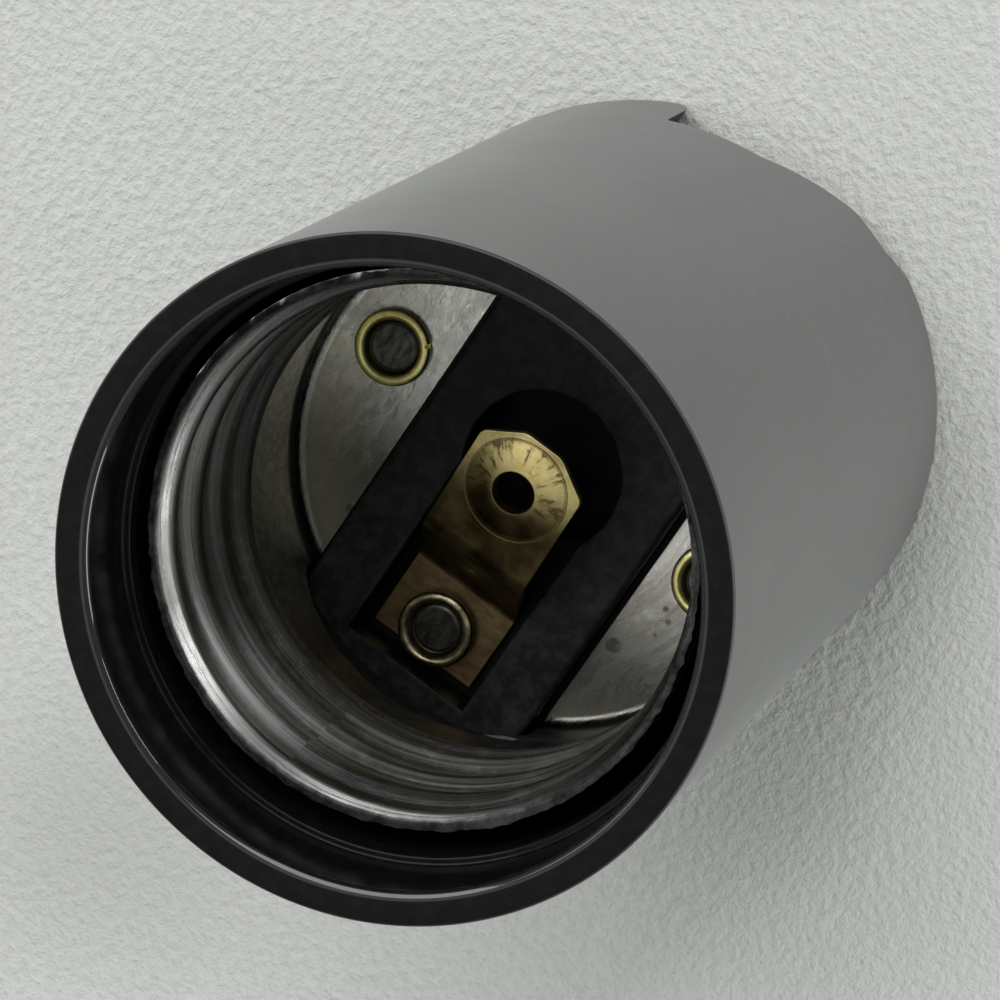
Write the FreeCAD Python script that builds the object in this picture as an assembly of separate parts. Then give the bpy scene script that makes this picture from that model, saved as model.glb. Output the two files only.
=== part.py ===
import FreeCAD, Part
import math
import os

# Keyless medium-base lamp holder: a moulded barrel with a threaded metal screw shell
# riveted inside it, a springy centre contact, and a wiring chamber in its rear end.
# Millimetres. The origin is the centre of the rear rim, +Z runs along the barrel axis
# to the open mouth, and +X runs along the bar that carries the centre contact,
# from its riveted foot to its tip.

V = FreeCAD.Vector

# Barrel: its bore takes the screw shell, so its width follows from the lamp's thread
barrel_length = 47.6
barrel_wall = 2.1
mouth_wall = 1.7
mouth_depth = 4.7
rim_bevel = 0.35
rear_bevel = 0.3
chamber_depth = 12.5
web_thickness = 6.0

# Rear notches, measured along Y from the notch's centre line
notch_depth = 6.0
notch_shelf_depth = 1.8
notch_square_y = 6.9
notch_ramp_top_y = 1.7
notch_shelf_start_y = -4.0
notch_shelf_end_y = -6.4
notch_end_y = -8.5
notch_corner_round = 0.9

# Contact bar, moulded on the web between the two shell rivets
bar_height = 2.55
bar_to_rivet = 3.3
bar_edge_round = 0.35
channel_width = 7.5
pocket_diameter = 8.5
pocket_depth = 2.4
channel_end_gap = 0.5

# Screw shell, drawn from thin sheet, for a lamp cap with a medium Edison thread
sheet = 0.4
thread_pitch = 3.629
thread_major = 26.5
thread_depth = 0.8
thread_turns = 4.05
thread_runout = 1.0
shell_height = 23.9
cup_step = 0.55
cup_gap = 0.35
cup_corner = 0.9
slot_clearance = 0.35
slot_arch_rise = 3.1
slot_arch_top = 5.2
rivet_to_cup = 3.45

# Centre contact, a formed strip
contact_width = 6.3
contact_thickness = 0.5
contact_rise = 5.9
contact_head_rise = 1.65
contact_rivet_to_cup = 2.8
contact_heel = 1.8
contact_ramp_start = 3.0
contact_ramp_run = 3.2
contact_tip_x = 3.05
contact_tip_flat = 2.2
contact_tip_shoulder = 1.4
contact_bend = 0.7
contact_hole = 2.3
contact_boss_diameter = 5.4
contact_boss_height = 0.35
contact_boss_land = 0.1
contact_rivet_gap = 0.35

# Rivets, set with a rolled end round a shallow cup
rivet_shank = 2.9
rivet_cup = 2.4
rivet_cup_depth = 0.45
rivet_crown = 3.45
rivet_roll = 4.15
rivet_roll_height = 0.65
rivet_head = 5.0
rivet_head_height = 0.9
rivet_head_bevel = 0.35
rivet_hole_clearance = 0.05
contact_hole_clearance = 0.15

# Terminals in the wiring chamber
plate_thickness = 1.0
plate_width = 6.2
plate_collar = 5.2
plate_collar_height = 1.2
shell_screw_to_bore = 6.35
shell_screw_y = 6.6
contact_screw_to_bore = 5.95
contact_screw_y = -6.5
screw_diameter = 3.4
screw_head = 6.4
screw_head_height = 2.0
screw_head_bevel = 0.5
screw_slot_width = 1.0
screw_slot_depth = 1.1
screw_length = 5.2
screw_point = 0.4
screw_play = 0.07
screw_end_room = 0.6
clamp_diameter = 6.6
clamp_thickness = 0.8
washer_diameter = 6.0
washer_thickness = 0.8

# Worked out from the sizes above
cup_inner_r = thread_major / 2.0 + cup_step
cup_outer_r = cup_inner_r + sheet
bore_r = cup_outer_r + cup_gap
barrel_r = bore_r + barrel_wall
mouth_r = barrel_r - mouth_wall
web_rear_z = chamber_depth
web_front_z = web_rear_z + web_thickness
bar_top_z = web_front_z + bar_height
floor_top_z = web_front_z + sheet
lip_z = web_front_z + shell_height
thread_mean_r = (thread_major - thread_depth) / 2.0
thread_length = thread_turns * thread_pitch
shell_rivet_y = cup_inner_r - rivet_to_cup
bar_half = shell_rivet_y - bar_to_rivet
contact_rivet_x = contact_rivet_to_cup - cup_inner_r
channel_floor_z = web_front_z
foot_top_z = channel_floor_z + contact_thickness
contact_heel_x = contact_rivet_x - contact_heel
plate_rear_z = web_rear_z - plate_thickness
screw_spots = {
    "shell": (bore_r - shell_screw_to_bore, shell_screw_y),
    "contact": (contact_screw_to_bore - bore_r, contact_screw_y),
}


def cylinder(radius, z0, z1, x=0.0, y=0.0):
    return Part.makeCylinder(radius, z1 - z0, V(x, y, z0))


def block(x0, x1, y0, y1, z0, z1):
    return Part.makeBox(x1 - x0, y1 - y0, z1 - z0, V(x0, y0, z0))


def revolved(outline, x=0.0, y=0.0):
    """Turn a closed outline of (radius, z) points round an upright line."""
    wire = Part.makePolygon([V(r, 0, z) for r, z in outline + outline[:1]])
    solid = Part.Face(wire).revolve(V(0, 0, 0), V(0, 0, 1), 360)
    solid.translate(V(x, y, 0))
    return solid


def edges_where(shape, test):
    return [edge for edge in shape.Edges if test(edge)]


def is_flat_at(edge, z):
    box = edge.BoundBox
    return abs(box.ZMin - z) < 1e-4 and abs(box.ZMax - z) < 1e-4


def runs_along(edge, direction):
    if len(edge.Vertexes) != 2 or not isinstance(edge.Curve, Part.Line):
        return False
    span = edge.Vertexes[1].Point - edge.Vertexes[0].Point
    return span.Length > 1e-6 and abs(abs(span.normalize().dot(direction)) - 1.0) < 1e-6


def save(shape, node):
    shape.exportStep(os.path.join("parts", node + ".step"))


def notch_cutter():
    """The twist-lock notch in the rear rim: square side, floor, ramp and shelf."""
    arc = notch_corner_round
    below = -1.0
    half = math.sqrt(0.5) * arc
    start = V(0, notch_square_y + arc, below)
    corner_low = V(0, notch_square_y + arc, 0)
    corner_mid = V(0, notch_square_y + arc - half, arc - half)
    corner_high = V(0, notch_square_y, arc)
    rest = [
        corner_high,
        V(0, notch_square_y, notch_depth),
        V(0, notch_ramp_top_y, notch_depth),
        V(0, notch_shelf_start_y, notch_shelf_depth),
        V(0, notch_shelf_end_y, notch_shelf_depth),
        V(0, notch_end_y, 0),
        V(0, notch_end_y, below),
        start,
    ]
    edges = [Part.makeLine(start, corner_low), Part.Arc(corner_low, corner_mid, corner_high).toShape()]
    edges += [Part.makeLine(a, b) for a, b in zip(rest, rest[1:])]
    cutter = Part.Face(Part.Wire(edges)).extrude(V(barrel_r, 0, 0))
    cutter.translate(V(barrel_r * 0.5, 0, 0))
    return cutter


def bar_recess():
    """Channel for the contact's foot, with the round pocket under its tip."""
    end_x = contact_heel_x - channel_end_gap
    half = channel_width / 2.0
    channel = block(end_x, 0, -half, half, channel_floor_z, bar_top_z + 1)
    pocket = cylinder(pocket_diameter / 2.0, channel_floor_z - pocket_depth, bar_top_z + 1)
    return channel.fuse(pocket)


def make_barrel():
    outside = cylinder(barrel_r, 0, barrel_length)
    outside = outside.makeChamfer(rim_bevel, edges_where(outside, lambda e: is_flat_at(e, barrel_length)))
    outside = outside.makeChamfer(rear_bevel, edges_where(outside, lambda e: is_flat_at(e, 0)))
    inside = cylinder(bore_r, web_front_z, barrel_length + 1)
    inside = inside.fuse(cylinder(mouth_r, barrel_length - mouth_depth, barrel_length + 1))
    chamber = cylinder(bore_r, -1, web_rear_z)
    barrel = outside.cut(inside).cut(chamber)
    barrel = barrel.makeChamfer(rim_bevel, edges_where(
        barrel, lambda e: is_flat_at(e, barrel_length) and abs(e.BoundBox.XMax - mouth_r) < 0.01))

    bar = block(-bore_r - 0.5, bore_r + 0.5, -bar_half, bar_half, web_front_z - 0.5, bar_top_z)
    bar = bar.makeFillet(bar_edge_round, edges_where(
        bar, lambda e: is_flat_at(e, bar_top_z) and runs_along(e, V(1, 0, 0))))
    bar = bar.common(cylinder(bore_r + 0.5, 0, barrel_length))
    barrel = barrel.fuse(bar).cut(bar_recess())

    notch = notch_cutter()
    barrel = barrel.cut(notch)
    notch.rotate(V(0, 0, 0), V(0, 0, 1), 180)
    barrel = barrel.cut(notch)

    hole_r = rivet_shank / 2.0 + rivet_hole_clearance
    for x, y in ((0, shell_rivet_y), (0, -shell_rivet_y), (contact_rivet_x, 0)):
        barrel = barrel.cut(cylinder(hole_r, 0, bar_top_z, x, y))
    shank_end = screw_length - clamp_thickness - plate_thickness
    for x, y in screw_spots.values():
        clear_r = screw_diameter / 2.0 + 0.4
        barrel = barrel.cut(cylinder(clear_r, 0, web_rear_z + shank_end + screw_end_room, x, y))
        recess_r = plate_collar / 2.0 + 0.2
        barrel = barrel.cut(cylinder(recess_r, 0, web_rear_z + plate_collar_height + 0.2, x, y))
    return barrel.removeSplitter()


def arch_cutter(half_width, rise, z):
    """Half ellipse standing on z, drawn across X and run right through the shell."""
    arch = Part.Ellipse(V(0, 0, 0), half_width, rise).toShape(0, math.pi)
    base = Part.makeLine(arch.valueAt(arch.LastParameter), arch.valueAt(arch.FirstParameter))
    cutter = Part.Face(Part.Wire([arch, base])).extrude(V(0, 0, 4 * barrel_r))
    cutter.rotate(V(0, 0, 0), V(0, 1, 0), 90)
    cutter.rotate(V(0, 0, 0), V(1, 0, 0), 90)
    cutter.translate(V(-2 * barrel_r, 0, z))
    return cutter


def shell_outline(offset, z_floor, z_lip):
    """Half outline of the drawn shell: floor, corner, cup, neck and thread wall.

    offset is the distance outwards from the inner face of the sheet. The wall stands
    at the middle of the rolled thread's wave.
    """
    cup = cup_inner_r + offset
    wall = thread_mean_r + offset
    corner = cup_corner + offset
    neck_z = lip_z - thread_length
    return [(0, z_floor), (cup - corner, z_floor), (cup - corner * 0.3, z_floor + corner * 0.3),
            (cup, z_floor + corner), (cup, neck_z - thread_runout), (wall, neck_z),
            (wall, z_lip), (0, z_lip)]


def make_screw_shell():
    shell = revolved(shell_outline(sheet, web_front_z, lip_z))
    shell = shell.cut(revolved(shell_outline(0, floor_top_z, lip_z + 1)))
    half = bar_half + slot_clearance
    spring_z = web_front_z + slot_arch_top - slot_arch_rise
    shell = shell.cut(block(-barrel_r, barrel_r, -half, half, web_front_z - 1, spring_z))
    shell = shell.cut(arch_cutter(half, slot_arch_rise, spring_z))
    for y in (shell_rivet_y, -shell_rivet_y):
        shell = shell.cut(cylinder(rivet_shank / 2.0 + rivet_hole_clearance, web_front_z - 1,
                                   floor_top_z + 1, 0, y))
    return shell


def make_centre_contact():
    """Foot, steep ramp and a head that still rises gently to its eight-sided tip."""
    t = contact_thickness
    top = foot_top_z
    foot_x = contact_rivet_x + contact_ramp_start
    head_x = foot_x + contact_ramp_run
    head_z = top + contact_rise
    tip_z = head_z + contact_head_rise
    tilt = math.atan2(contact_head_rise, contact_tip_x - head_x)
    slope = math.atan2(contact_rise, contact_ramp_run)
    foot_shift = t * math.tan(slope / 2.0)
    head_shift = V(math.sin((slope + tilt) / 2.0), 0, -math.cos((slope + tilt) / 2.0))
    head_shift.multiply(t / math.cos((slope - tilt) / 2.0))
    outline = [
        V(contact_heel_x, 0, top),
        V(foot_x, 0, top),
        V(head_x, 0, head_z),
        V(contact_tip_x, 0, tip_z),
        V(contact_tip_x, 0, tip_z - t / math.cos(tilt)),
        V(head_x, 0, head_z) + head_shift,
        V(foot_x + foot_shift, 0, top - t),
        V(contact_heel_x, 0, top - t),
    ]
    wire = Part.makePolygon(outline + outline[:1])
    half = contact_width / 2.0
    strip = Part.Face(wire).extrude(V(0, contact_width, 0))
    strip.translate(V(0, -half, 0))

    def bend_edges(points):
        return edges_where(strip, lambda e: runs_along(e, V(0, 1, 0)) and any(
            abs(e.Vertexes[0].X - p.x) < 1e-6 and abs(e.Vertexes[0].Z - p.z) < 1e-6 for p in points))

    strip = strip.makeFillet(contact_bend, bend_edges([outline[1], outline[5]]))
    strip = strip.makeFillet(contact_bend + t, bend_edges([outline[2], outline[6]]))

    shoulder_x = contact_tip_x - contact_tip_shoulder
    plan = [
        V(contact_heel_x - 1, -half, 0), V(shoulder_x, -half, 0),
        V(contact_tip_x, -contact_tip_flat / 2.0, 0), V(contact_tip_x, contact_tip_flat / 2.0, 0),
        V(shoulder_x, half, 0), V(contact_heel_x - 1, half, 0),
    ]
    blank = Part.Face(Part.makePolygon(plan + plan[:1])).extrude(V(0, 0, 2 * barrel_length))
    strip = strip.common(blank)

    boss_r = contact_boss_diameter / 2.0
    hole_r = contact_hole / 2.0
    boss = revolved([(0, -t / 2.0), (boss_r, -t / 2.0), (boss_r, 0),
                     (hole_r + contact_boss_land, contact_boss_height), (0, contact_boss_height)])
    boss = boss.cut(cylinder(hole_r, -t, 2 * t))
    hole = cylinder(hole_r, -2 * t, t)
    for tool in (boss, hole):
        tool.rotate(V(0, 0, 0), V(0, 1, 0), -math.degrees(tilt))
        tool.translate(V(0, 0, tip_z - contact_tip_x * math.tan(tilt)))
    strip = strip.cut(hole).fuse(boss)
    rivet_r = rivet_shank / 2.0 + contact_hole_clearance
    strip = strip.cut(cylinder(rivet_r, top - 2 * t, top + 0.2, contact_rivet_x, 0))
    return strip.removeSplitter()


def make_rivet(x, y, seat_z, rear_z):
    """Low head behind, end rolled over on seat_z round a shallow cup."""
    shank_r = rivet_shank / 2.0
    roll_r = rivet_roll / 2.0
    head_r = rivet_head / 2.0
    top = seat_z + rivet_roll_height
    head_z = rear_z - rivet_head_height
    outline = [
        (0, head_z), (head_r - rivet_head_bevel, head_z), (head_r, head_z + rivet_head_bevel),
        (head_r, rear_z), (shank_r, rear_z), (shank_r, seat_z),
        (roll_r, seat_z), (roll_r, seat_z + rivet_roll_height * 0.4),
        (rivet_crown / 2.0, top), (rivet_cup / 2.0, top - rivet_cup_depth), (0, top - rivet_cup_depth),
    ]
    return revolved(outline, x, y)


def make_terminal_plate(rivet, screw):
    """Flat link from a rivet to a tapped collar for the terminal screw."""
    half = plate_width / 2.0
    start = V(rivet[0], rivet[1], 0)
    end = V(screw[0], screw[1], 0)
    span = end - start
    link = block(0, span.Length, -half, half, plate_rear_z, web_rear_z)
    link.rotate(V(0, 0, 0), V(0, 0, 1), math.degrees(math.atan2(span.y, span.x)))
    link.translate(start)
    plate = link.fuse(cylinder(half, plate_rear_z, web_rear_z, start.x, start.y))
    plate = plate.fuse(cylinder(half, plate_rear_z, web_rear_z, end.x, end.y))
    plate = plate.fuse(cylinder(plate_collar / 2.0, plate_rear_z, web_rear_z + plate_collar_height, end.x, end.y))
    tapped_r = screw_diameter / 2.0 + screw_play
    plate = plate.cut(cylinder(tapped_r, plate_rear_z - 1, web_front_z, end.x, end.y))
    rivet_r = rivet_shank / 2.0 + rivet_hole_clearance
    plate = plate.cut(cylinder(rivet_r, plate_rear_z - 1, web_front_z, start.x, start.y))
    return plate.removeSplitter()


def make_washer(diameter, thickness, hole_r, top_z, x, y):
    bottom = top_z - thickness
    ring = cylinder(diameter / 2.0, bottom, top_z, x, y)
    return ring.cut(cylinder(hole_r, bottom - 1, top_z + 1, x, y))


def make_terminal_screw(x, y):
    seat = plate_rear_z - clamp_thickness
    head = cylinder(screw_head / 2.0, seat - screw_head_height, seat, x, y)
    head = head.makeChamfer(screw_head_bevel, edges_where(
        head, lambda e: is_flat_at(e, seat - screw_head_height)))
    slot = block(x - screw_head, x + screw_head, y - screw_slot_width / 2.0, y + screw_slot_width / 2.0,
                 seat - screw_head_height - 1, seat - screw_head_height + screw_slot_depth)
    shank = cylinder(screw_diameter / 2.0, seat - 0.01, seat + screw_length, x, y)
    shank = shank.makeChamfer(screw_point, edges_where(shank, lambda e: is_flat_at(e, seat + screw_length)))
    return head.cut(slot).fuse(shank).removeSplitter()


os.makedirs("parts", exist_ok=True)

rivet_spots = {"shell_rivet_a": (0, shell_rivet_y), "shell_rivet_b": (0, -shell_rivet_y)}
under_head = {"shell_rivet_a": plate_thickness, "shell_rivet_b": washer_thickness}

save(make_barrel(), "barrel")
save(make_screw_shell(), "screw_shell")
save(make_centre_contact(), "centre_contact")
for name, (rivet_x, rivet_y) in rivet_spots.items():
    save(make_rivet(rivet_x, rivet_y, floor_top_z, web_rear_z - under_head[name]), name)
save(make_rivet(contact_rivet_x, 0, foot_top_z + contact_rivet_gap, plate_rear_z), "contact_rivet")
save(make_terminal_plate(rivet_spots["shell_rivet_a"], screw_spots["shell"]), "shell_terminal")
save(make_terminal_plate((contact_rivet_x, 0), screw_spots["contact"]), "contact_terminal")
save(make_washer(washer_diameter, washer_thickness, rivet_shank / 2.0 + rivet_hole_clearance,
                 web_rear_z, *rivet_spots["shell_rivet_b"]), "rivet_washer")
for name, (screw_x, screw_y) in screw_spots.items():
    save(make_washer(clamp_diameter, clamp_thickness, screw_diameter / 2.0 + screw_play,
                     plate_rear_z, screw_x, screw_y), name + "_clamp_washer")
    save(make_terminal_screw(screw_x, screw_y), name + "_terminal_screw")
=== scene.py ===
import math

import bmesh
import bpy
from mathutils import Matrix, Vector, noise


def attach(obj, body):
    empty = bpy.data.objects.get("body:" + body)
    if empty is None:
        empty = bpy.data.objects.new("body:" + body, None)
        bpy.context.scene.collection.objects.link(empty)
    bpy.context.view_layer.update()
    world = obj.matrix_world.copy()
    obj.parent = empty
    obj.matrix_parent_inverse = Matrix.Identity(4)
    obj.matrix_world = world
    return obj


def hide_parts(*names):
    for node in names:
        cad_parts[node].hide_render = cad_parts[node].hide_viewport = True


# Lamp holder standing on its rear end, seen from the front and above.
# All shapes are modelled in millimetres and brought to metres when a piece is finished.

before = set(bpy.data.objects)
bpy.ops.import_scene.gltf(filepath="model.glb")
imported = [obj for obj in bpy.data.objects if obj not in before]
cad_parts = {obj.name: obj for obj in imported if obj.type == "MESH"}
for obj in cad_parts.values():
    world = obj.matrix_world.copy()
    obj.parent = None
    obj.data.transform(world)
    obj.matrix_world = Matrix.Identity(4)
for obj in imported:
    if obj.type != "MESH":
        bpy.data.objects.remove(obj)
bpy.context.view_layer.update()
print("frame loaded")

mm = 0.001


def outlineFace(points, rounds=None, segments=6, plane="XZ"):
    # one flat face from its corners in mm; rounds gives a setback for a corner's place in the list
    bm = bmesh.new()
    if plane == "XZ":
        corners = [bm.verts.new((a, 0, b)) for a, b in points]
    elif plane == "YZ":
        corners = [bm.verts.new((0, a, b)) for a, b in points]
    else:
        corners = [bm.verts.new((a, b, 0)) for a, b in points]
    bm.faces.new(corners)
    for setback in sorted(set((rounds or {}).values())):
        chosen = [corners[i] for i, value in rounds.items() if value == setback]
        bmesh.ops.bevel(bm, geom=chosen, offset=setback, offset_type="OFFSET", segments=segments,
                        profile=0.5, affect="VERTICES", clamp_overlap=False, material=-1)
    return bm


def spin(bm, steps):
    # a section in the XZ plane becomes a closed turned body; its edges on the axis go first
    bmesh.ops.delete(bm, geom=bm.faces[:], context="FACES_ONLY")
    onAxis = [e for e in bm.edges if all(abs(v.co.x) < 1e-6 for v in e.verts)]
    bmesh.ops.delete(bm, geom=onAxis, context="EDGES")
    bmesh.ops.spin(bm, geom=bm.verts[:] + bm.edges[:], cent=(0, 0, 0), axis=(0, 0, 1), dvec=(0, 0, 0),
                   angle=2 * math.pi, steps=steps, use_merge=True, use_normal_flip=False,
                   use_duplicate=False)
    bmesh.ops.remove_doubles(bm, verts=bm.verts[:], dist=1e-4)
    bmesh.ops.recalc_face_normals(bm, faces=bm.faces[:])
    return bm


def extruded(bm, vector):
    made = bmesh.ops.extrude_face_region(bm, geom=bm.faces[:])
    moved = [g for g in made["geom"] if isinstance(g, bmesh.types.BMVert)]
    bmesh.ops.translate(bm, verts=moved, vec=vector)
    bmesh.ops.recalc_face_normals(bm, faces=bm.faces[:])
    return bm


def block(x0, x1, y0, y1, z0, z1):
    bm = bmesh.new()
    place = Matrix.Translation(((x0 + x1) / 2, (y0 + y1) / 2, (z0 + z1) / 2))
    bmesh.ops.create_cube(bm, size=1, matrix=place @ Matrix.Diagonal((x1 - x0, y1 - y0, z1 - z0, 1)))
    return bm


def rod(radius, z0, z1, x=0.0, y=0.0, segments=96):
    bm = bmesh.new()
    bmesh.ops.create_cone(bm, cap_ends=True, cap_tris=False, segments=segments, radius1=radius,
                          radius2=radius, depth=z1 - z0, matrix=Matrix.Translation((x, y, (z0 + z1) / 2)))
    return bm


def bevelEdges(bm, edges, width, segments):
    bmesh.ops.bevel(bm, geom=edges, offset=width, offset_type="OFFSET", segments=segments, profile=0.5,
                    affect="EDGES", clamp_overlap=True, material=-1)
    return bm


def smooth(value, low, high):
    share = min(1.0, max(0.0, (value - low) / (high - low)))
    return share * share * (3 - 2 * share)


def temporary(bm):
    # an object that only lives while a modifier works on it
    mesh = bpy.data.meshes.new("temporary")
    bm.to_mesh(mesh)
    bm.free()
    holder = bpy.data.objects.new("temporary", mesh)
    bpy.context.scene.collection.objects.link(holder)
    return holder


def withModifiers(target, settings):
    for kind, values in settings:
        modifier = target.modifiers.new("step", kind)
        for key, value in values.items():
            setattr(modifier, key, value)
    shown = target.evaluated_get(bpy.context.evaluated_depsgraph_get())
    bm = bmesh.new()
    bm.from_mesh(shown.to_mesh())
    shown.to_mesh_clear()
    return bm


def combined(bm, other, operation):
    base, tool = temporary(bm), temporary(other)
    made = withModifiers(base, [("BOOLEAN", {"operation": operation, "solver": "EXACT", "object": tool})])
    for holder in (base, tool):
        mesh = holder.data
        bpy.data.objects.remove(holder)
        bpy.data.meshes.remove(mesh)
    bmesh.ops.remove_doubles(made, verts=made.verts[:], dist=1e-4)
    return made


def finishPiece(bm, name, body, nodes, sharp=32.0, weighted=True):
    bmesh.ops.scale(bm, vec=(mm, mm, mm), verts=bm.verts[:])
    mesh = bpy.data.meshes.new(name)
    bm.to_mesh(mesh)
    bm.free()
    mesh.shade_smooth()
    mesh.set_sharp_from_angle(angle=math.radians(sharp))
    piece = bpy.data.objects.new(name, mesh)
    bpy.context.scene.collection.objects.link(piece)
    if weighted:
        modifier = piece.modifiers.new("even shading", "WEIGHTED_NORMAL")
        modifier.keep_sharp = True
        modifier.weight = 80
    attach(piece, body)
    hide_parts(*nodes)
    print("made", name, len(mesh.polygons), "faces")
    return piece


barrelSizes = {
    "radius": 16.65, "length": 47.6, "bore": 14.55, "mouth": 14.95, "mouthFloor": 42.9,
    "webRear": 12.5, "webFront": 18.5, "barTop": 21.05, "barHalf": 7.05, "barRound": 0.35,
    "channelHalf": 3.75, "channelEnd": -13.3, "pocket": 4.25, "pocketFloor": 16.1, "cutEdge": 0.16,
    "rivetHole": 1.5, "collarHole": 2.8, "screwHole": 2.1, "steps": 256,
    "rivetPlaces": ((0, 10.35), (0, -10.35), (-11.0, 0)), "screwPlaces": ((8.2, 6.6), (-8.6, -6.5)),
    # twist-lock notch in the rear rim: a long ramp on one side, a square stop on the other
    "notch": ((7.8, -1), (7.8, 0), (6.9, 0.9), (6.9, 6), (1.7, 6), (-4, 1.8), (-6.4, 1.8), (-8.5, 0),
              (-8.5, -1)),
}


def makeBarrel(s):
    section = [(0, s["webFront"]), (s["bore"], s["webFront"]), (s["bore"], s["mouthFloor"]),
               (s["mouth"], s["mouthFloor"]), (s["mouth"], s["length"]), (s["radius"], s["length"]),
               (s["radius"], 0), (s["bore"], 0), (s["bore"], s["webRear"]), (0, s["webRear"])]
    bm = outlineFace(section, {1: 0.3, 2: 0.12, 3: 0.15, 4: 0.4, 5: 0.16, 6: 0.22, 7: 0.25, 8: 0.4})
    body = spin(bm, s["steps"])

    bar = block(-16, 16, -s["barHalf"], s["barHalf"], s["webFront"] - 0.5, s["barTop"])
    topEdges = [e for e in bar.edges if all(v.co.z > s["barTop"] - 0.05 for v in e.verts)
                and abs(e.verts[0].co.x - e.verts[1].co.x) > 1]
    bevelEdges(bar, topEdges, s["barRound"], 4)
    bar = combined(bar, rod((s["bore"] + s["radius"]) / 2, 10, 40, segments=128), "INTERSECT")
    body = combined(body, bar, "UNION")
    body = combined(body, block(s["channelEnd"], 0, -s["channelHalf"], s["channelHalf"],
                                s["webFront"], 30), "DIFFERENCE")
    body = combined(body, rod(s["pocket"], s["pocketFloor"], 30, segments=128), "DIFFERENCE")
    rim = [e for e in body.edges if all(abs(v.co.z - s["barTop"]) < 0.01 for v in e.verts)
           and all(v.co.xy.length < s["bore"] - 0.02 for v in e.verts) and len(e.link_faces) == 2
           and e.calc_face_angle(0) > 1.0]
    bevelEdges(body, rim, s["cutEdge"], 3)

    for side in (1, -1):
        cutter = outlineFace(s["notch"], {2: 0.5, 3: 0.3, 4: 0.5, 5: 0.5}, 4, "YZ")
        extruded(cutter, (12, 0, 0))
        bmesh.ops.translate(cutter, verts=cutter.verts[:], vec=(8, 0, 0))
        if side < 0:
            bmesh.ops.rotate(cutter, verts=cutter.verts[:], cent=(0, 0, 0),
                             matrix=Matrix.Rotation(math.pi, 3, "Z"))
        body = combined(body, cutter, "DIFFERENCE")

    for x, y in s["rivetPlaces"]:
        body = combined(body, rod(s["rivetHole"], 5, 30, x, y, 48), "DIFFERENCE")
    for x, y in s["screwPlaces"]:
        body = combined(body, rod(s["collarHole"], 5, 13.9, x, y, 64), "DIFFERENCE")
        body = combined(body, rod(s["screwHole"], 5, 16.5, x, y, 48), "DIFFERENCE")
    return finishPiece(body, "moulded_barrel", "holder", ["barrel"])


shellSizes = {
    "inner": 13.85, "floor": 18.9, "lip": 42.4, "sheet": 0.35, "corner": 0.6, "mean": 12.95, "wave": 0.37,
    "taper": 0.013, "pitch": 3.629, "neckLow": 27.0, "neckHigh": 28.6, "phase": 1.2, "lipRadius": 13.4,
    "lipBlend": 0.9, "lean": (-0.33, 0.0, 0.023, 0.0105),  # x and y at the floor, then per mm of height
    "slotHalf": 7.4, "slotStraight": 20.6, "archRise": 3.1, "rivetHole": 1.5, "rivetAt": 10.35,
    "burr": 0.06, "bite": 0.11, "steps": 288, "rows": 124,
}


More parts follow.
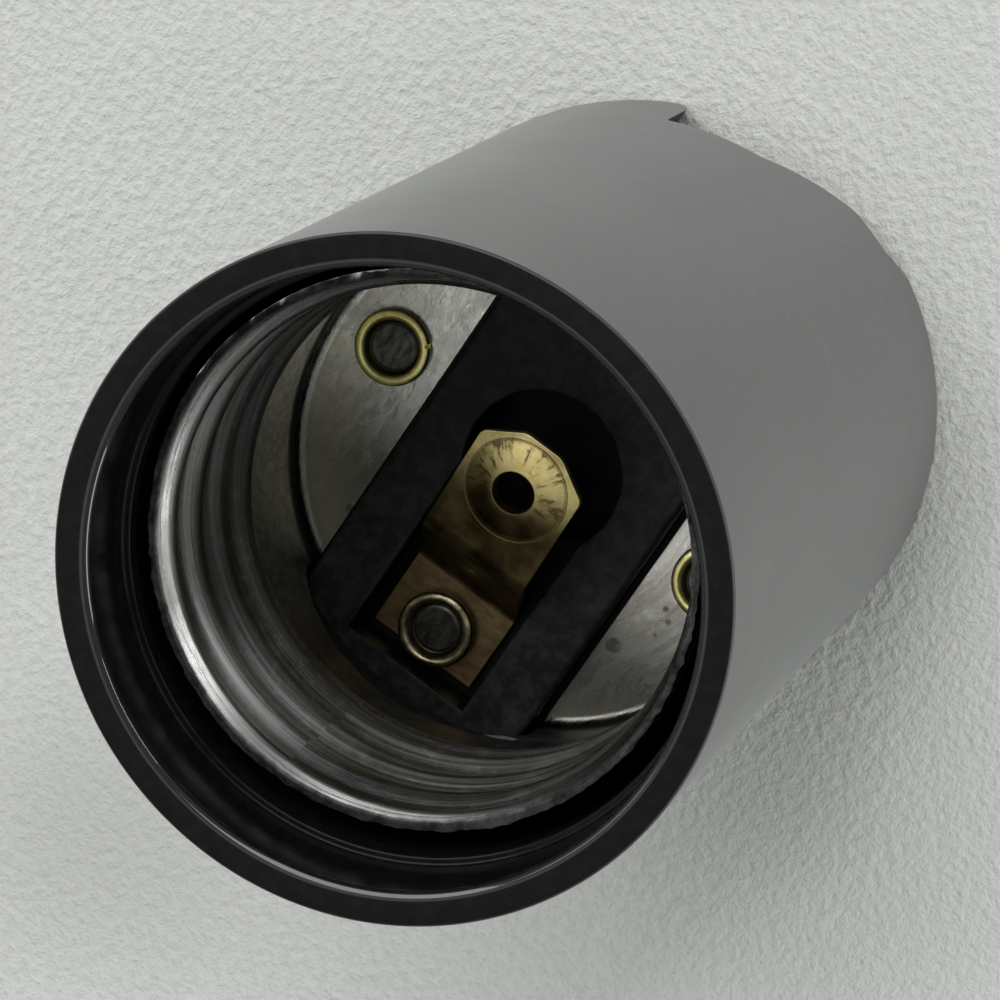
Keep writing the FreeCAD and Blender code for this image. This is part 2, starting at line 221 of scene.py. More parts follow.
def makeShell(s):
    tall = s["lip"] + 0.8
    bm = outlineFace([(0, s["floor"]), (s["inner"], s["floor"]), (s["inner"], tall), (0, tall)],
                     {1: s["corner"]}, 8)
    bmesh.ops.delete(bm, geom=bm.faces[:], context="FACES_ONLY")
    topEdge = [e for e in bm.edges if all(v.co.z > tall - 0.01 for v in e.verts)]
    bmesh.ops.delete(bm, geom=topEdge, context="EDGES")
    wall = [e for e in bm.edges if all(v.co.x > s["inner"] - 0.01 for v in e.verts)
            and abs(e.verts[0].co.z - e.verts[1].co.z) > 5]
    bmesh.ops.subdivide_edges(bm, edges=wall, cuts=s["rows"])
    spin(bm, s["steps"])
    # above the neck the plain wall becomes the rolled thread, which fades out at the lip
    for v in bm.verts:
        angle = math.atan2(v.co.y, v.co.x)
        radius = v.co.xy.length
        share = smooth(v.co.z, s["neckLow"], s["neckHigh"])
        turn = 2 * math.pi * (v.co.z - s["lip"]) / s["pitch"] - angle + s["phase"]
        thread = s["mean"] + s["taper"] * (v.co.z - s["neckHigh"]) + s["wave"] * math.cos(turn)
        thread += (s["lipRadius"] - thread) * smooth(v.co.z, s["lip"] - s["lipBlend"], s["lip"])
        radius += (thread - s["inner"]) * share
        shift = [s["lean"][i] + s["lean"][i + 2] * (v.co.z - s["floor"]) for i in (0, 1)]
        v.co.x, v.co.y = radius * math.cos(angle) + shift[0], radius * math.sin(angle) + shift[1]
    bm.normal_update()
    side = next(f for f in bm.faces if f.calc_center_median().z > 35)
    middle = side.calc_center_median()
    if side.normal.dot(Vector((middle.x, middle.y, 0))) < 0:
        bmesh.ops.reverse_faces(bm, faces=bm.faces[:])
    holder = temporary(bm)
    bm = withModifiers(holder, [("SOLIDIFY", {"thickness": s["sheet"], "offset": 1.0, "use_rim": False,
                                             "use_even_offset": True})])
    bpy.data.objects.remove(holder)
    cut = bmesh.ops.bisect_plane(bm, geom=bm.verts[:] + bm.edges[:] + bm.faces[:], dist=1e-4,
                                 plane_co=(0, 0, s["lip"]), plane_no=(0, 0, 1), clear_outer=True,
                                 clear_inner=False)
    ring = [g for g in cut["geom_cut"] if isinstance(g, bmesh.types.BMEdge)]
    bmesh.ops.bridge_loops(bm, edges=ring)
    bmesh.ops.recalc_face_normals(bm, faces=bm.faces[:])

    window = bmesh.new()
    bmesh.ops.create_circle(window, cap_ends=True, segments=96, radius=1,
                            matrix=Matrix.Rotation(math.pi / 2, 4, "Y"))
    bmesh.ops.scale(window, vec=(1, s["slotHalf"], s["archRise"]), verts=window.verts[:])
    for v in window.verts:
        v.co.z = v.co.z + s["slotStraight"] if v.co.z > -1e-4 else 16.0
        v.co.x = -18
    extruded(window, (36, 0, 0))
    bm = combined(bm, window, "DIFFERENCE")
    for y in (s["rivetAt"], -s["rivetAt"]):
        bm = combined(bm, rod(s["rivetHole"], 15, 22, 0, y, 48), "DIFFERENCE")

    # the lip is a raw cut edge: a little uneven in height, more on its outer side
    lipMiddle = Vector(s["lean"][:2]) + (s["lip"] - s["floor"]) * Vector(s["lean"][2:])
    for v in bm.verts:
        if v.co.z > s["lip"] - 0.01:
            angle = math.atan2(v.co.y, v.co.x)
            around = Vector((math.cos(angle), math.sin(angle), 0))
            burr = noise.noise(around * 9) + 0.6 * noise.noise(around * 28 + Vector((5, 0, 0)))
            outer = (v.co.xy - lipMiddle).length > s["lipRadius"] + 0.5 * s["sheet"]
            v.co.z += s["burr"] * burr - (0.16 if outer else 0.02)
            if outer:
                bite = noise.noise(around * 26 + Vector((0, 9, 0))) + 0.7 * noise.noise(around * 70)
                v.co += around * (s["bite"] * bite - 0.02)
    return finishPiece(bm, "threaded_shell", "holder", ["screw_shell"], 40, False)


contactSizes = {
    "heel": -12.8, "footEnd": -8.0, "headStart": -4.8, "tip": 3.05, "foot": 19.0, "headLow": 24.9,
    "headHigh": 26.55, "thick": 0.5, "half": 3.15, "tipHalf": 1.1, "shoulder": 1.65,
    "bossBase": 2.7, "bossHigh": 0.35, "hole": 1.15, "rivetHole": 1.6, "edge": 0.07,
}


def makeContact(s):
    # the strip is its side view made as wide as the foot, cut to the plan's tapered tip
    t = s["thick"]
    slope = math.atan2(s["headLow"] - s["foot"], s["headStart"] - s["footEnd"])
    tilt = math.atan2(s["headHigh"] - s["headLow"], s["tip"] - s["headStart"])
    reach = t / math.cos((slope - tilt) / 2)
    under = (s["headStart"] + reach * math.sin((slope + tilt) / 2),
             s["headLow"] - reach * math.cos((slope + tilt) / 2))
    side = [(s["heel"], s["foot"]), (s["footEnd"], s["foot"]), (s["headStart"], s["headLow"]),
            (s["tip"], s["headHigh"]), (s["tip"], s["headHigh"] - t / math.cos(tilt)), under,
            (s["footEnd"] + t * math.tan(slope / 2), s["foot"] - t), (s["heel"], s["foot"] - t)]
    low, high = math.tan(slope / 2), math.tan((slope - tilt) / 2)
    strip = outlineFace(side, {1: 0.7 * low, 6: 1.2 * low, 2: 1.7 * high, 5: 1.2 * high}, 8)
    extruded(strip, (0, 2 * s["half"], 0))
    bmesh.ops.translate(strip, verts=strip.verts[:], vec=(0, -s["half"], 0))
    plan = outlineFace([(-15, -s["half"]), (s["shoulder"], -s["half"]), (s["tip"], -s["tipHalf"]),
                        (s["tip"], s["tipHalf"]), (s["shoulder"], s["half"]), (-15, s["half"])],
                       {1: 0.25, 2: 0.25, 3: 0.25, 4: 0.25}, 3, "XY")
    extruded(plan, (0, 0, 60))
    strip = combined(strip, plan, "INTERSECT")
    seat = (Matrix.Translation((0, 0, s["headHigh"] - s["tip"] * math.tan(tilt)))
            @ Matrix.Rotation(-tilt, 4, "Y"))
    boss = outlineFace([(0, -0.3), (s["bossBase"], -0.3), (s["bossBase"], 0),
                        (s["hole"] + 0.1, s["bossHigh"]), (0, s["bossHigh"])], {2: 0.1, 3: 0.12}, 3)
    spin(boss, 96)
    hole = rod(s["hole"], -2, 2, segments=64)
    for tool in (boss, hole):
        bmesh.ops.transform(tool, matrix=seat, verts=tool.verts[:])
    strip = combined(strip, boss, "UNION")
    strip = combined(strip, hole, "DIFFERENCE")
    strip = combined(strip, rod(s["rivetHole"], 10, 19.3, -11.0, 0, 48), "DIFFERENCE")
    hard = [e for e in strip.edges if len(e.link_faces) == 2 and e.calc_face_angle(0) > 0.9]
    bevelEdges(strip, hard, s["edge"], 2)
    return finishPiece(strip, "contact_strip", "contact", ["centre_contact"])


rivetSizes = {
    "shank": 1.45, "cup": 1.22, "cupDepth": 0.45, "crown": 1.72, "roll": 2.075, "rollHigh": 0.65,
    "head": 2.5, "headHigh": 0.9, "steps": 96,
}


def makeRivet(name, node, x, y, seat, rear, split, s):
    top = seat + s["rollHigh"]
    headLow = rear - s["headHigh"]
    floor = top - s["cupDepth"]
    section = [(0, headLow), (s["head"], headLow), (s["head"], rear), (s["shank"], rear),
               (s["shank"], seat), (s["roll"], seat), (s["roll"] - 0.02, top - 0.1),
               (s["crown"], top + 0.01), (s["crown"] - 0.2, top - 0.12), (s["cup"] + 0.06, floor - 0.06),
               (s["cup"] - 0.05, floor + 0.02), (0, floor)]
    bm = outlineFace(section, {1: 0.55, 2: 0.12, 5: 0.1, 6: 0.14, 7: 0.12, 8: 0.1, 9: 0.05, 10: 0.08}, 5)
    bm = spin(bm, s["steps"])
    if split is not None:  # a small tear in the rolled end
        turn = Matrix.Rotation(split, 4, "Z")
        gap = outlineFace([(1.82, -0.05), (2.5, -0.3), (2.5, 0.22), (1.86, 0.1)], None, 1, "XY")
        extruded(gap, (0, 0, 3))
        bmesh.ops.translate(gap, verts=gap.verts[:], vec=(0, 0, seat + 0.05))
        bmesh.ops.transform(gap, matrix=turn, verts=gap.verts[:])
        bm = combined(bm, gap, "DIFFERENCE")
    bmesh.ops.translate(bm, verts=bm.verts[:], vec=(x, y, 0))
    return finishPiece(bm, name, "holder", [node])


pieces = {
    "barrel": makeBarrel(barrelSizes),
    "shell": makeShell(shellSizes),
    "contact": makeContact(contactSizes),
    "rivetA": makeRivet("rivet_upper", "shell_rivet_a", 0, 10.35, 18.9, 11.5, -0.9, rivetSizes),
    "rivetB": makeRivet("rivet_lower", "shell_rivet_b", 0, -10.35, 18.9, 11.7, None, rivetSizes),
    "rivetC": makeRivet("rivet_contact", "contact_rivet", -11.0, 0, 19.35, 11.5, None, rivetSizes),
}


class Wire:
    # a socket that can be used in plain sums
    def __init__(self, paint, socket):
        self.paint = paint
        self.socket = socket

    def calc(self, operation, first, second):
        return self.paint.node("ShaderNodeMath", {"operation": operation}, {0: first, 1: second}, 0)

    def __add__(self, other):
        return self.calc("ADD", self, other)

    def __radd__(self, other):
        return self.calc("ADD", other, self)

    def __sub__(self, other):
        return self.calc("SUBTRACT", self, other)

    def __rsub__(self, other):
        return self.calc("SUBTRACT", other, self)

    def __mul__(self, other):
        return self.calc("MULTIPLY", self, other)

    def __rmul__(self, other):
        return self.calc("MULTIPLY", other, self)


class Paint:
    def __init__(self, name):
        self.material = bpy.data.materials.new(name)
        self.material.use_nodes = True
        self.tree = self.material.node_tree
        self.tree.nodes.clear()
        self.place = self.node("ShaderNodeTexCoord", {}, {}, "Object")

    def node(self, kind, settings, values, output=None):
        made = self.tree.nodes.new(kind)
        for key, value in settings.items():
            setattr(made, key, value)
        for key, value in values.items():
            if isinstance(value, Wire):
                self.tree.links.new(value.socket, made.inputs[key])
            else:
                made.inputs[key].default_value = value
        return made if output is None else Wire(self, made.outputs[output])

    def at(self, centre=(0, 0, 0), turn=(0, 0, 0), stretch=(1, 1, 1)):
        # place a pattern: centre in mm, then turned and stretched, in mm
        moved = self.node("ShaderNodeMapping", {"vector_type": "POINT"}, {
            "Vector": self.place, "Location": tuple(-c for c in centre), "Rotation": (0, 0, 0),
            "Scale": (1000, 1000, 1000)}, 0)
        return self.node("ShaderNodeMapping", {"vector_type": "POINT"}, {
            "Vector": moved, "Location": (0, 0, 0), "Rotation": turn, "Scale": stretch}, 0)

    def cloud(self, place, scale, detail=4.0, rough=0.55, distort=0.0):
        return self.node("ShaderNodeTexNoise", {"noise_dimensions": "3D"}, {
            "Vector": place, "Scale": scale, "Detail": detail, "Roughness": rough, "Distortion": distort},
            "Fac")

    def step(self, value, low, high, toLow=0.0, toHigh=1.0):
        return self.node("ShaderNodeMapRange", {"interpolation_type": "SMOOTHSTEP", "clamp": True}, {
            "Value": value, "From Min": low, "From Max": high, "To Min": toLow, "To Max": toHigh}, 0)

    def mix(self, factor, first, second, blend="MIX"):
        values = {0: factor}
        for key, colour in ((6, first), (7, second)):
            values[key] = colour if isinstance(colour, Wire) else (*colour, 1)
        return self.node("ShaderNodeMix", {"data_type": "RGBA", "blend_type": blend}, values, 2)

    def split(self, vector):
        made = self.node("ShaderNodeSeparateXYZ", {}, {0: vector})
        return [Wire(self, made.outputs[i]) for i in range(3)]

    def join(self, x, y, z):
        return self.node("ShaderNodeCombineXYZ", {}, {0: x, 1: y, 2: z}, 0)

    def round(self, centre=(0, 0, 0)):
        # distance from an upright line in mm, angle round it, and height in mm
        x, y, z = self.split(self.at(centre))
        away = self.node("ShaderNodeMath", {"operation": "POWER"}, {0: x * x + y * y, 1: 0.5}, 0)
        angle = self.node("ShaderNodeMath", {"operation": "ARCTAN2"}, {0: y, 1: x}, 0)
        return away, angle, z

    def spot(self, centre, radius, soft=0.15, stretch=(1, 1, 1), turn=(0, 0, 0)):
        away = self.node("ShaderNodeVectorMath", {"operation": "LENGTH"},
                         {0: self.at(centre, turn, stretch)}, "Value")
        return self.step(away, radius + soft, radius - soft)

    def bump(self, height, distance, strength=1.0, under=None):
        values = {"Height": height, "Distance": distance * mm, "Strength": strength}
        if under is not None:
            values["Normal"] = under
        return self.node("ShaderNodeBump", {}, values, "Normal")

    def shader(self, constants, varying):
        return self.node("ShaderNodeBsdfPrincipled", {}, {**constants, **varying}, 0)

    def close(self, shader):
        self.node("ShaderNodeOutputMaterial", {}, {0: shader})
        return self.material

    def finish(self, constants, varying):
        return self.close(self.shader(constants, varying))


def coat(target, material):
    target.data.materials.clear()
    target.data.materials.append(material)


def phenolicPaint():
    # the outside is dull, with its grazing sheen partly painted in as a lighter grey; the rim, the bore and
    # the bar are black and polished, the bar top with a painted sheen
    p = Paint("black phenolic")
    away, _, height = p.round()
    large = p.cloud(p.at(stretch=(1, 1, 0.45)), 0.075, 4.0, 0.55, 0.5)
    bands = p.cloud(p.at(turn=(0.12, 0.2, 0), stretch=(0.35, 0.35, 2.2)), 0.16, 4.0, 0.6, 0.4)
    fine = p.cloud(p.at(), 1.3, 6.0, 0.65)
    dust = p.cloud(p.at((3, 8, 1)), 2.6, 2.0, 0.5)
    # painted sheen: the outside's grey and its soft bands stand in for light reflected at grazing angles,
    # over real mottling
    sheenBands = 0.75 * large + 0.25 * bands
    sheenAndMarks = p.mix(p.step(sheenBands, 0.36, 0.66), (0.018, 0.0185, 0.0172), (0.029, 0.03, 0.028))
    sheenAndMarks = p.mix(0.35 * p.step(dust, 0.7, 0.78), sheenAndMarks, (0.2, 0.2, 0.18))
    inner = p.mix(p.step(fine, 0.4, 0.7), (0.003, 0.0031, 0.0033), (0.0055, 0.0055, 0.006))
    rimFace = p.step(away, 15.3, 15.45) * p.step(height, 47.4, 47.5)
    depth = p.step(height, 30, 24)
    scratch = p.cloud(p.at(turn=(0.3, 0.2, 0.7), stretch=(6, 0.25, 1)), 1.1, 3.0, 0.5)
    grain = p.cloud(p.at(), 4.5, 3.0, 0.6)
    bump = p.bump(grain * (0.1 + 0.9 * depth), 0.03, 0.5)
    bump = p.bump(p.step(scratch, 0.68, 0.76), 0.008, 0.5, bump)
    nick = p.spot((16.6, 0.8, 18.2), 0.55, 0.06) * p.step(scratch, 0.4, 0.5)
    sheenAndMarks = p.mix(0.9 * nick, sheenAndMarks, (0.02, 0.02, 0.02))
    specks = (((16.13, -4.12, 12.5), 0.16), ((16.24, -3.63, 19.2), 0.1), ((15.9, -4.9, 12.9), 0.08))
    for place, size in specks:
        sheenAndMarks = p.mix(p.spot(place, size, 0.05), sheenAndMarks, (0.02, 0.02, 0.02))
    dark = 0.14 + 0.02 * p.step(fine, 0.35, 0.75) + 0.3 * rimFace + 0.24 * depth
    # painted sheen: the bar top is coloured a lighter grey where it catches light
    barSheen = p.mix(p.step(fine, 0.4, 0.65), (0.011, 0.011, 0.0112), (0.025, 0.025, 0.0255))
    inner = p.mix(depth * p.step(height, 20.6, 21.0), inner, barSheen)
    mouthEdge = p.step(height, 47.12, 47.22) * p.step(away, 15.42, 15.34)
    polished = p.shader({"Specular IOR Level": 0.095, "Coat Roughness": 0.07}, {
        "Base Color": inner, "Roughness": dark, "Coat Weight": mouthEdge, "Normal": bump})
    # the outside shader: a sheen lobe on a base colour lightened as painted sheen; dust, the nick and the
    # specks are real marks
    sheenedOutside = p.shader({"Specular IOR Level": 0.45, "Sheen Weight": 0.44, "Sheen Roughness": 0.3}, {
        "Base Color": sheenAndMarks, "Roughness": 0.4 + 0.1 * p.step(sheenBands, 0.35, 0.65), "Normal": bump})
    outside = p.step(away, 16.5, 16.6)
    return p.close(p.node("ShaderNodeMixShader", {}, {0: outside, 1: polished, 2: sheenedOutside}, 0))


def aluminiumPaint():
    # plain floor streaked by drawing, spun lines on the wall, tan stain in the cup, raw bright lip; painted
    # shade on the floor and deep in the cup, a painted dark reflection low on the cup wall, painted light
    # on the tan patch and a painted highlight on the wall
    p = Paint("rolled aluminium")
    away, angle, height = p.round()
    across, along = p.split(p.at())[:2]
    wall = p.step(height, 19.3, 19.6)
    spun = p.cloud(p.join(away * 0.2, angle * 0.7, height * 5.0), 1.0, 6.0, 0.7, 0.1)
    drawn = p.cloud(p.at((9, 2, 0), turn=(0, 0, 0.65), stretch=(0.5, 1.3, 1)), 1.3, 7.0, 0.68, 0.3)
    stain = p.cloud(p.at((4, 2, 0)), 0.28, 5.0, 0.65, 0.8)
    specks = p.cloud(p.at((1, 7, 3)), 2.2, 2.0, 0.5)
    mottle = p.cloud(p.at((7, 3, 2)), 1.3, 6.0, 0.7)
    pits = p.cloud(p.at((2, 2, 5), stretch=(1, 1, 0.7)), 1.7, 6.0, 0.8)
    lines = wall * spun + (1 - wall) * drawn
    plain = p.mix(p.step(drawn, 0.32, 0.7), (0.48, 0.465, 0.42), (0.68, 0.67, 0.62))
    plain = p.mix(p.step(mottle, 0.52, 0.66), plain, (0.8, 0.79, 0.75))
    lower = p.step(along, -3.0, -6.0)
    rings = p.cloud(p.join(away * 1.5, angle * 0.5, 0.0), 1.0, 4.0, 0.6, 0.6)
    plain = p.mix(lower * p.step(rings, 0.45, 0.6), plain, (0.42, 0.38, 0.34))
    # painted shade: the floor is darkened towards -x, where the wall blocks its reflection
    plain = p.mix(p.step(across, 0.5, -7.5), plain, (0.15, 0.145, 0.128))
    dull = p.mix(p.step(spun, 0.3, 0.7), (0.11, 0.11, 0.108), (0.32, 0.32, 0.315))
    bright = p.mix(p.step(spun, 0.3, 0.7), (0.26, 0.26, 0.255), (0.6, 0.6, 0.59))
    # painted shade: the wall's colour darkens deeper into the cup
    dull = p.mix(p.step(height, 32, 41.5), dull, bright)
    dull = p.mix(0.35 * p.step(mottle, 0.5, 0.68), dull, (0.6, 0.6, 0.585))
    base = p.mix(wall, plain, dull)
    # painted reflection: the plain cup wall below the thread is darkened where it mirrors the dark bar
    cup = wall * p.step(height, 27.6, 27.0)
    base = p.mix(cup, base, p.mix(p.step(mottle, 0.35, 0.7), (0.07, 0.07, 0.066), (0.13, 0.13, 0.12)))
    # a tan patch of oxide on the wall, painted brighter to stand in for light falling on it
    litTanPatch = wall * p.step(along, 3.5, 8.0) * p.step(height, 20.0, 20.6) * p.step(height, 29.4, 28.6)
    base = p.mix(litTanPatch, base, p.mix(p.step(pits, 0.4, 0.6), (0.7, 0.64, 0.48), (1.0, 0.97, 0.85)))
    base = p.mix(0.4 * p.step(stain, 0.5, 0.7), base, (0.24, 0.23, 0.2))
    base = p.mix(0.7 * p.step(specks, 0.72, 0.78), base, (0.12, 0.11, 0.1))
    for place, size in (((-6.04, -8.06, 18.9), 0.42), ((-2.69, -9.23, 18.9), 0.16),
                        ((-3.2, -9.71, 18.9), 0.16), ((-4.2, -9.55, 18.9), 0.1),
                        ((-8.72, 7.5, 18.9), 0.22)):
        base = p.mix(0.85 * p.spot(place, size, 0.08) * p.step(mottle, 0.3, 0.5), base, (0.07, 0.065, 0.06))
    # painted highlight: a brighter patch on the left wall
    wallHighlight = p.spot((-12.4, 3.5, 37.0), 4.0, 3.0, (1, 1, 1.1))
    base = p.mix(0.42 * wallHighlight * p.step(spun, 0.35, 0.6), base, (0.75, 0.75, 0.74))
    # painted shade: a darker patch near the lip and another on the wall
    dim = p.spot((-12.8, -2.0, 41.4), 5.0, 3.0, (1, 1, 1.6))
    base = p.mix(0.6 * dim, base, (0.13, 0.13, 0.128))
    shade = p.spot((-8.0, 10.4, 35.5), 4.5, 2.5, (1, 1, 0.6))
    base = p.mix(0.45 * shade, base, (0.11, 0.11, 0.108))
    lip = p.mix(p.step(mottle, 0.35, 0.6), (0.24, 0.24, 0.235), (0.6, 0.6, 0.585))
    base = p.mix(p.step(height, 42.0, 42.2), base, lip)
    chip = p.spot((7.4, 11.4, 40.0), 0.55, 0.1, (1, 1, 1.4)) * p.step(mottle, 0.42, 0.5)
    base = p.mix(chip, base, (0.95, 0.95, 0.92))
    burr = p.spot((-12.5, -6.2, 22.5), 0.75, 0.12, (0.8, 0.8, 2.2)) * p.step(mottle, 0.36, 0.44)
    base = p.mix(burr, base, (0.95, 0.95, 0.93))
    rough = 0.22 + 0.14 * p.step(lines, 0.35, 0.7) + 0.1 * p.step(stain, 0.5, 0.7)
    rough = rough + 0.2 * wall * p.step(height, 40, 31) + 0.24 * wallHighlight - 0.12 * litTanPatch
    bump = p.bump(lines, 0.035, 0.7)
    bump = p.bump(mottle, 0.012, 0.6, bump)
    return p.finish({"Metallic": 1.0}, {"Base Color": base, "Roughness": rough, "Normal": bump})


def brassPaint():
    # the head is bright brass with painted shade on the half turned from the light, the foot and the ramp
    # stay brown
    p = Paint("dull brass")
    away, angle, height = p.round()
    across, along = p.split(p.at())[:2]
    rays = p.cloud(p.join(away * 0.5, angle * 3.6, 0.0), 1.0, 6.0, 0.8, 0.35)
    blotch = p.cloud(p.at((1, 5, 0)), 0.55, 5.0, 0.6)
    marks = p.cloud(p.at(turn=(0, 0, 0.5), stretch=(2.2, 0.8, 1)), 1.4, 4.0, 0.6)
    head = p.step(across, -5.6, -4.4)
    lit = p.step(across + 0.15 * along, -1.6, 1.6)
    base = p.mix(p.step(blotch, 0.35, 0.7), (0.55, 0.44, 0.17), (0.88, 0.74, 0.33))
    shaded = p.mix(p.step(blotch, 0.35, 0.7), (0.05, 0.036, 0.014), (0.125, 0.09, 0.04))
    # painted shade: the half of the head turned from the light gets a shaded copy of the brass
    base = p.mix((1 - lit) * head, base, shaded)
    base = p.mix(1 - head, base, p.mix(p.step(marks, 0.35, 0.65), (0.15, 0.1, 0.048), (0.22, 0.156, 0.078)))
    ramp = p.step(height, 19.2, 20.0) * p.step(across, -4.6, -5.2)
    base = p.mix(0.8 * ramp, base, (0.12, 0.075, 0.03))
    rim = p.step(away, 3.0, 2.6) * p.step(away, 1.2, 1.5)
    base = p.mix(0.85 * head * rim * p.step(rays, 0.5, 0.58), base, (0.1, 0.07, 0.03))
    # painted shade in the groove round the boss
    groove = p.step(away, 2.62, 2.7) * p.step(away, 2.86, 2.78)
    base = p.mix(0.5 * groove, base, (0.14, 0.1, 0.04))
    tool = ramp * p.spot((-6.4, 0.2, 22.0), 0.75, 0.1) * p.step(marks, 0.52, 0.58)
    base = p.mix(tool, base, (0.6, 0.5, 0.26))
    rough = 0.32 + 0.18 * p.step(blotch, 0.3, 0.7)
    bump = p.bump(rays * rim, 0.04, 0.8)
    bump = p.bump(groove, -0.03, 0.8, bump)
    bump = p.bump(marks, 0.015, 0.6, bump)
    return p.finish({"Metallic": 1.0}, {"Base Color": base, "Roughness": rough, "Normal": bump})


def rivetPaint(name, centre, light, dim, cup):
    # bright rolled ring with painted shade on its outer edge and inner slope, a grey cup in front, plain
    # brass behind
    p = Paint(name)
    away, angle, height = p.round(centre)
    front = p.step(height, 16.0, 16.5)
    blotch = p.cloud(p.at(centre), 1.1, 4.0, 0.6)
    worn = p.cloud(p.join(away * 5.0, angle * 0.4, 0.0), 1.0, 3.0, 0.6)
    cloudy = p.cloud(p.at(centre, stretch=(1, 2, 1)), 1.4, 4.0, 0.6)
    base = p.mix(p.step(blotch, 0.35, 0.7), dim, light)
    # painted shade on the outer edge of the rolled ring and on its inner slope
    base = p.mix(front * p.step(away, 1.99, 2.04), base, (0.07, 0.062, 0.035))
    base = p.mix(front * p.step(away, 1.56, 1.46), base, (0.08, 0.075, 0.055))
    dull, clean = (cup * 0.35, cup * 0.35, cup * 0.32), (cup, cup, cup * 0.9)
    disc = p.mix(p.step(cloudy + 0.4 * worn, 0.5, 0.9), dull, clean)
    base = p.mix(front * p.step(away, 1.24, 1.16), base, disc)
    rear = p.mix(p.step(blotch, 0.3, 0.75), (0.46, 0.37, 0.17), (0.62, 0.51, 0.25))
    base = p.mix(front, rear, base)
    rough = 0.24 + 0.16 * p.step(blotch, 0.3, 0.7) + 0.14 * p.step(away, 1.24, 1.18)
    bump = p.bump(worn, 0.03, 0.6)
    return p.finish({"Metallic": 1.0}, {"Base Color": base, "Roughness": rough,
                                        "Normal": p.bump(cloudy, 0.02, 0.5, bump)})


def steelPaint(name, light, dark):
    p = Paint(name)
    blotch = p.cloud(p.at((2, 3, 1)), 0.8, 5.0, 0.6)
    lines = p.cloud(p.at(stretch=(0.4, 5, 1)), 1.2, 3.0, 0.5)
    base = p.mix(p.step(blotch, 0.35, 0.7), dark, light)
    rough = 0.34 + 0.07 * p.step(lines, 0.3, 0.7)
    return p.finish({"Metallic": 1.0}, {"Base Color": base, "Roughness": rough,
                                        "Normal": p.bump(lines, 0.004, 0.5)})


coat(pieces["barrel"], phenolicPaint())
coat(pieces["shell"], aluminiumPaint())
coat(pieces["contact"], brassPaint())
rivetFinish = {
    "rivetA": {"name": "rivet brass upper", "centre": (0, 10.35, 0), "light": (0.95, 0.88, 0.36),
               "dim": (0.6, 0.55, 0.2), "cup": 0.15},
    "rivetB": {"name": "rivet brass lower", "centre": (0, -10.35, 0), "light": (0.95, 0.88, 0.36),
               "dim": (0.6, 0.55, 0.2), "cup": 0.15},
    "rivetC": {"name": "rivet brass contact", "centre": (-11.0, 0, 0), "light": (0.4, 0.35, 0.2),
               "dim": (0.13, 0.115, 0.08), "cup": 0.07},
}
for key, finish in rivetFinish.items():
    coat(pieces[key], rivetPaint(**finish))

steel = steelPaint("plated steel", (0.6, 0.6, 0.58), (0.38, 0.38, 0.36))
turned = steelPaint("turned brass", (0.66, 0.54, 0.26), (0.42, 0.32, 0.14))
plate = steelPaint("terminal brass", (0.56, 0.44, 0.2), (0.36, 0.27, 0.12))
nodeFinish = {
    "shell_terminal": (plate, "brass"), "contact_terminal": (plate, "brass"),
    "rivet_washer": (steel, "plated_steel"), "shell_clamp_washer": (steel, "plated_steel"),
    "contact_clamp_washer": (steel, "plated_steel"), "shell_terminal_screw": (steel, "plated_steel"),
    "contact_terminal_screw": (turned, "brass_screw"),
}
for node, (material, slotName) in nodeFinish.items():
    coat(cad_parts[node], material)
print("materials done")


floorSizes = {"half": 2.5}  # in metres


def makeFloor(s):
    bm = bmesh.new()
    bmesh.ops.create_grid(bm, x_segments=1, y_segments=1, size=s["half"])
    mesh = bpy.data.meshes.new("floor")
    bm.to_mesh(mesh)
    bm.free()
    floor = bpy.data.objects.new("floor", mesh)
    bpy.context.scene.collection.objects.link(floor)
    p = Paint("pale floor")
    grain = p.cloud(p.at(), 1.6, 4.0, 0.6)
    wide = p.cloud(p.at(), 0.06, 3.0, 0.5)
    base = p.mix(p.step(grain, 0.3, 0.7), (0.48, 0.485, 0.465), (0.545, 0.552, 0.53))
    base = p.mix(0.25 * p.step(wide, 0.35, 0.65), base, (0.44, 0.445, 0.425))
    # painted light and painted shadow: the floor is lighter towards -y and darker in three pools round the
    # part
    base = p.mix(p.step(p.split(p.at())[1], -17.0, -25.0), base, (0.6, 0.607, 0.586))
    base = p.mix(0.25 * p.spot((-29.0, -2.0, 0), 12.0, 11.0), base, (0.38, 0.385, 0.37))
    base = p.mix(0.4 * p.spot((-14.0, -19.0, 0), 4.5, 4.0), base, (0.42, 0.425, 0.41))
    base = p.mix(0.75 * p.spot((-42.0, 12.0, 0), 8.0, 7.0), base, (0.38, 0.385, 0.37))
    coat(floor, p.finish({"Specular IOR Level": 0.2},
                         {"Base Color": base, "Roughness": 0.75 + 0.1 * grain,
                          "Normal": p.bump(grain, 0.35, 0.8)}))


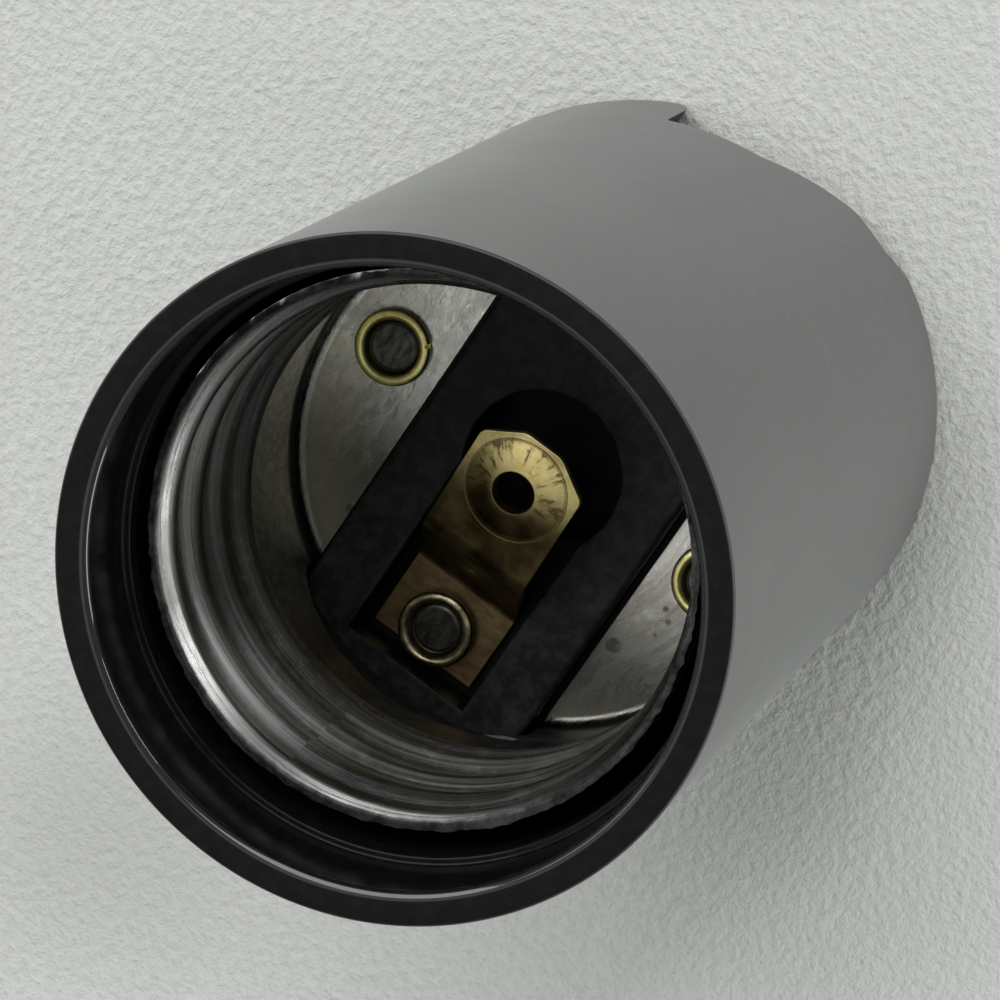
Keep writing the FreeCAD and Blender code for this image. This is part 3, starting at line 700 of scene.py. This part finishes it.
viewPoint = {
    "place": (0.08165, -0.0266, 0.26311), "right": (0.5364, -0.7971, -0.2773),
    "up": (0.7782, 0.5943, -0.2032), "forward": (-0.3268, 0.1068, -0.939), "lens": 178.81,
}
right, up, forward = (Vector(viewPoint[k]).normalized() for k in ("right", "up", "forward"))
middle = Vector((0, 0, 0.024))


def makeCamera():
    data = bpy.data.cameras.new("camera")
    data.sensor_width = 36
    data.lens = viewPoint["lens"]
    data.clip_start, data.clip_end = 0.01, 20
    camera = bpy.data.objects.new("camera", data)
    bpy.context.scene.collection.objects.link(camera)
    turn = Matrix((right, up, -forward)).transposed().to_4x4()
    camera.matrix_world = Matrix.Translation(Vector(viewPoint["place"])) @ turn
    bpy.context.scene.camera = camera


# each light: its direction as seen in the picture (right, up, towards the camera), its distance
# and its size in metres, and its power in watts
lights = {
    "key": ((-0.36, 0.52, 0.78), 1.2, (1.1, 1.1), 16),
    "side": ((0.72, 0.27, 0.64), 1.2, (0.6, 0.06), 2.2),
    "window": ((-0.84, 0.12, 0.52), 1.2, (0.5, 0.4), 1.2),
    "table": ((0.84, -0.42, 0.33), 1.2, (0.9, 0.5), 8),
    "low fill": ((-0.52, -0.38, 0.76), 1.0, (0.7, 0.7), 0.8),
}
studio = {"colour": (0.9, 0.95, 0.93, 1), "strength": 0.42}


def softLight(name, aim, distance, size, power):
    data = bpy.data.lights.new(name, "AREA")
    data.shape = "RECTANGLE"
    data.size, data.size_y = size
    data.energy = power
    direction = (aim[0] * right + aim[1] * up - aim[2] * forward).normalized()
    light = bpy.data.objects.new(name, data)
    bpy.context.scene.collection.objects.link(light)
    light.location = middle + direction * distance
    light.rotation_euler = (-direction).to_track_quat("-Z", "Y").to_euler()


makeFloor(floorSizes)
makeCamera()
for name, values in lights.items():
    softLight(name, *values)
world = bpy.data.worlds.new("studio")
world.use_nodes = True
world.node_tree.nodes["Background"].inputs[0].default_value = studio["colour"]
world.node_tree.nodes["Background"].inputs[1].default_value = studio["strength"]
bpy.context.scene.world = world
bpy.context.scene.view_settings.view_transform = "Standard"
bpy.context.scene.view_settings.look = "None"
print("stage, light and camera done")
